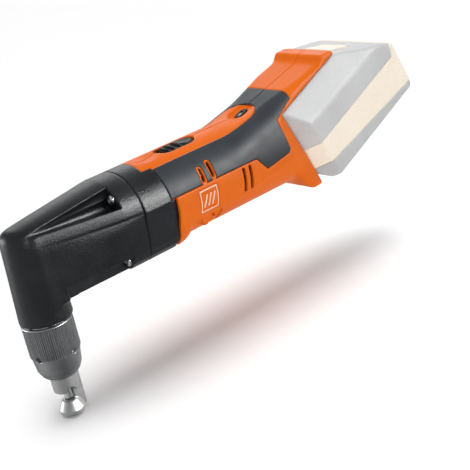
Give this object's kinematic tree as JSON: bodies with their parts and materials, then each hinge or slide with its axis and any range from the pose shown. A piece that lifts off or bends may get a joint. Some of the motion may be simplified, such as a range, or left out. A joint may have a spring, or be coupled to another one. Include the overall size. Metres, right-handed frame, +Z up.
{
  "type": "cordless nibbler",
  "caption": "Cordless nibbler: right-angle gear head with punch and die, knurled nut, barrel grip with slide switch, slide-on battery",
  "frame": {"origin": "centre of the die's bottom face", "axes": "+X from the die back along the barrel to the battery, +Z up the die axis, +Y across the tool"},
  "size_m": [0.3691, 0.076, 0.1773],
  "materials": {
    "black_metal": "black textured coat",
    "orange_plastic": "fine-textured",
    "grip_rubber": "matte",
    "bright_steel": "satin",
    "nut_steel": "satin",
    "die_steel": "ground",
    "bronze": "satin",
    "copper": "enamelled",
    "black_plastic": "moulded",
    "board": "satin",
    "lens": "polished",
    "badge": "satin",
    "pack_grey": "matte",
    "pack_light": "matte",
    "pack_cream": "matte",
    "cell": "wrapped"
  },
  "bodies": {
    "housing": {"gear_head": "black_metal", "middle_housing": "black_metal", "head_screws": "bright_steel", "shell_left": "orange_plastic", "shell_right": "orange_plastic", "grip_left": "grip_rubber", "grip_right": "grip_rubber", "shell_screws": "black_metal", "ram_bush_lower": "bronze", "ram_bush_upper": "bronze", "die_collar": "bright_steel", "bearing_outers": "bright_steel", "stator_core": "nut_steel", "stator_windings": "copper", "motor_mount": "black_plastic", "control_board": "board", "board_parts": "black_plastic", "switch_module": "black_plastic", "status_lens": "lens", "badge_plates": "badge", "terminal_block": "black_plastic", "terminal_blades": "bronze", "guide_rail": "black_plastic"},
    "nut": {"die_nut": "nut_steel"},
    "die": {"die": "die_steel"},
    "ram": {"ram": "bright_steel", "punch": "bright_steel", "punch_screw": "nut_steel"},
    "crank": {"crankshaft": "bright_steel", "drive_gear": "nut_steel", "crank_bearing_inners": "bright_steel"},
    "rotor": {"rotor_shaft": "bright_steel", "rotor_core": "nut_steel", "fan": "black_plastic", "rotor_bearing_inners": "bright_steel"},
    "switch": {"switch_button": "black_plastic", "switch_rod": "black_plastic"},
    "battery": {"pack_base": "pack_grey", "pack_band": "pack_cream", "pack_top": "pack_light", "pack_cells": "cell", "cell_holders": "black_plastic", "pack_board": "board", "pack_contacts": "bronze", "pack_screws": "nut_steel"},
    "release": {"release_button": "pack_cream"}
  },
  "joints": [
    {"name": "nut_turn", "type": "hinge", "parent": "housing", "child": "nut", "pos_m": [0, 0, 0.06], "axis": [0, 0, -1], "range_deg": [0, 720]},
    {"name": "die_swivel", "type": "hinge", "parent": "housing", "child": "die", "pos_m": [0, 0, 0.05], "axis": [0, 0, 1], "continuous": true},
    {"name": "ram_stroke", "type": "slide", "parent": "housing", "child": "ram", "axis": [0, 0, 1], "range_m": [-0.0035, 0.0035]},
    {"name": "crank_spin", "type": "hinge", "parent": "housing", "child": "crank", "pos_m": [0, 0, 0.107], "axis": [1, 0, 0], "continuous": true},
    {"name": "rotor_spin", "type": "hinge", "parent": "housing", "child": "rotor", "pos_m": [0.1, 0, 0.1214], "axis": [1, 0, 0], "continuous": true},
    {"name": "switch_slide", "type": "slide", "parent": "housing", "child": "switch", "axis": [1, 0, 0], "range_m": [-0.005, 0]},
    {"name": "battery_slide", "type": "slide", "parent": "housing", "child": "battery", "axis": [0.9135, 0, 0.4067], "range_m": [0, 0.072]},
    {"name": "release_press", "type": "slide", "parent": "battery", "child": "release", "axis": [-0.1461, 0, -0.9893], "range_m": [0, 0.004], "stiffness_N_per_m": 1200, "springref_m": -0.001}
  ],
  "couplings": [
    {"joint": "crank_spin", "follows": "rotor_spin", "ratio": -0.2973}
  ]
}
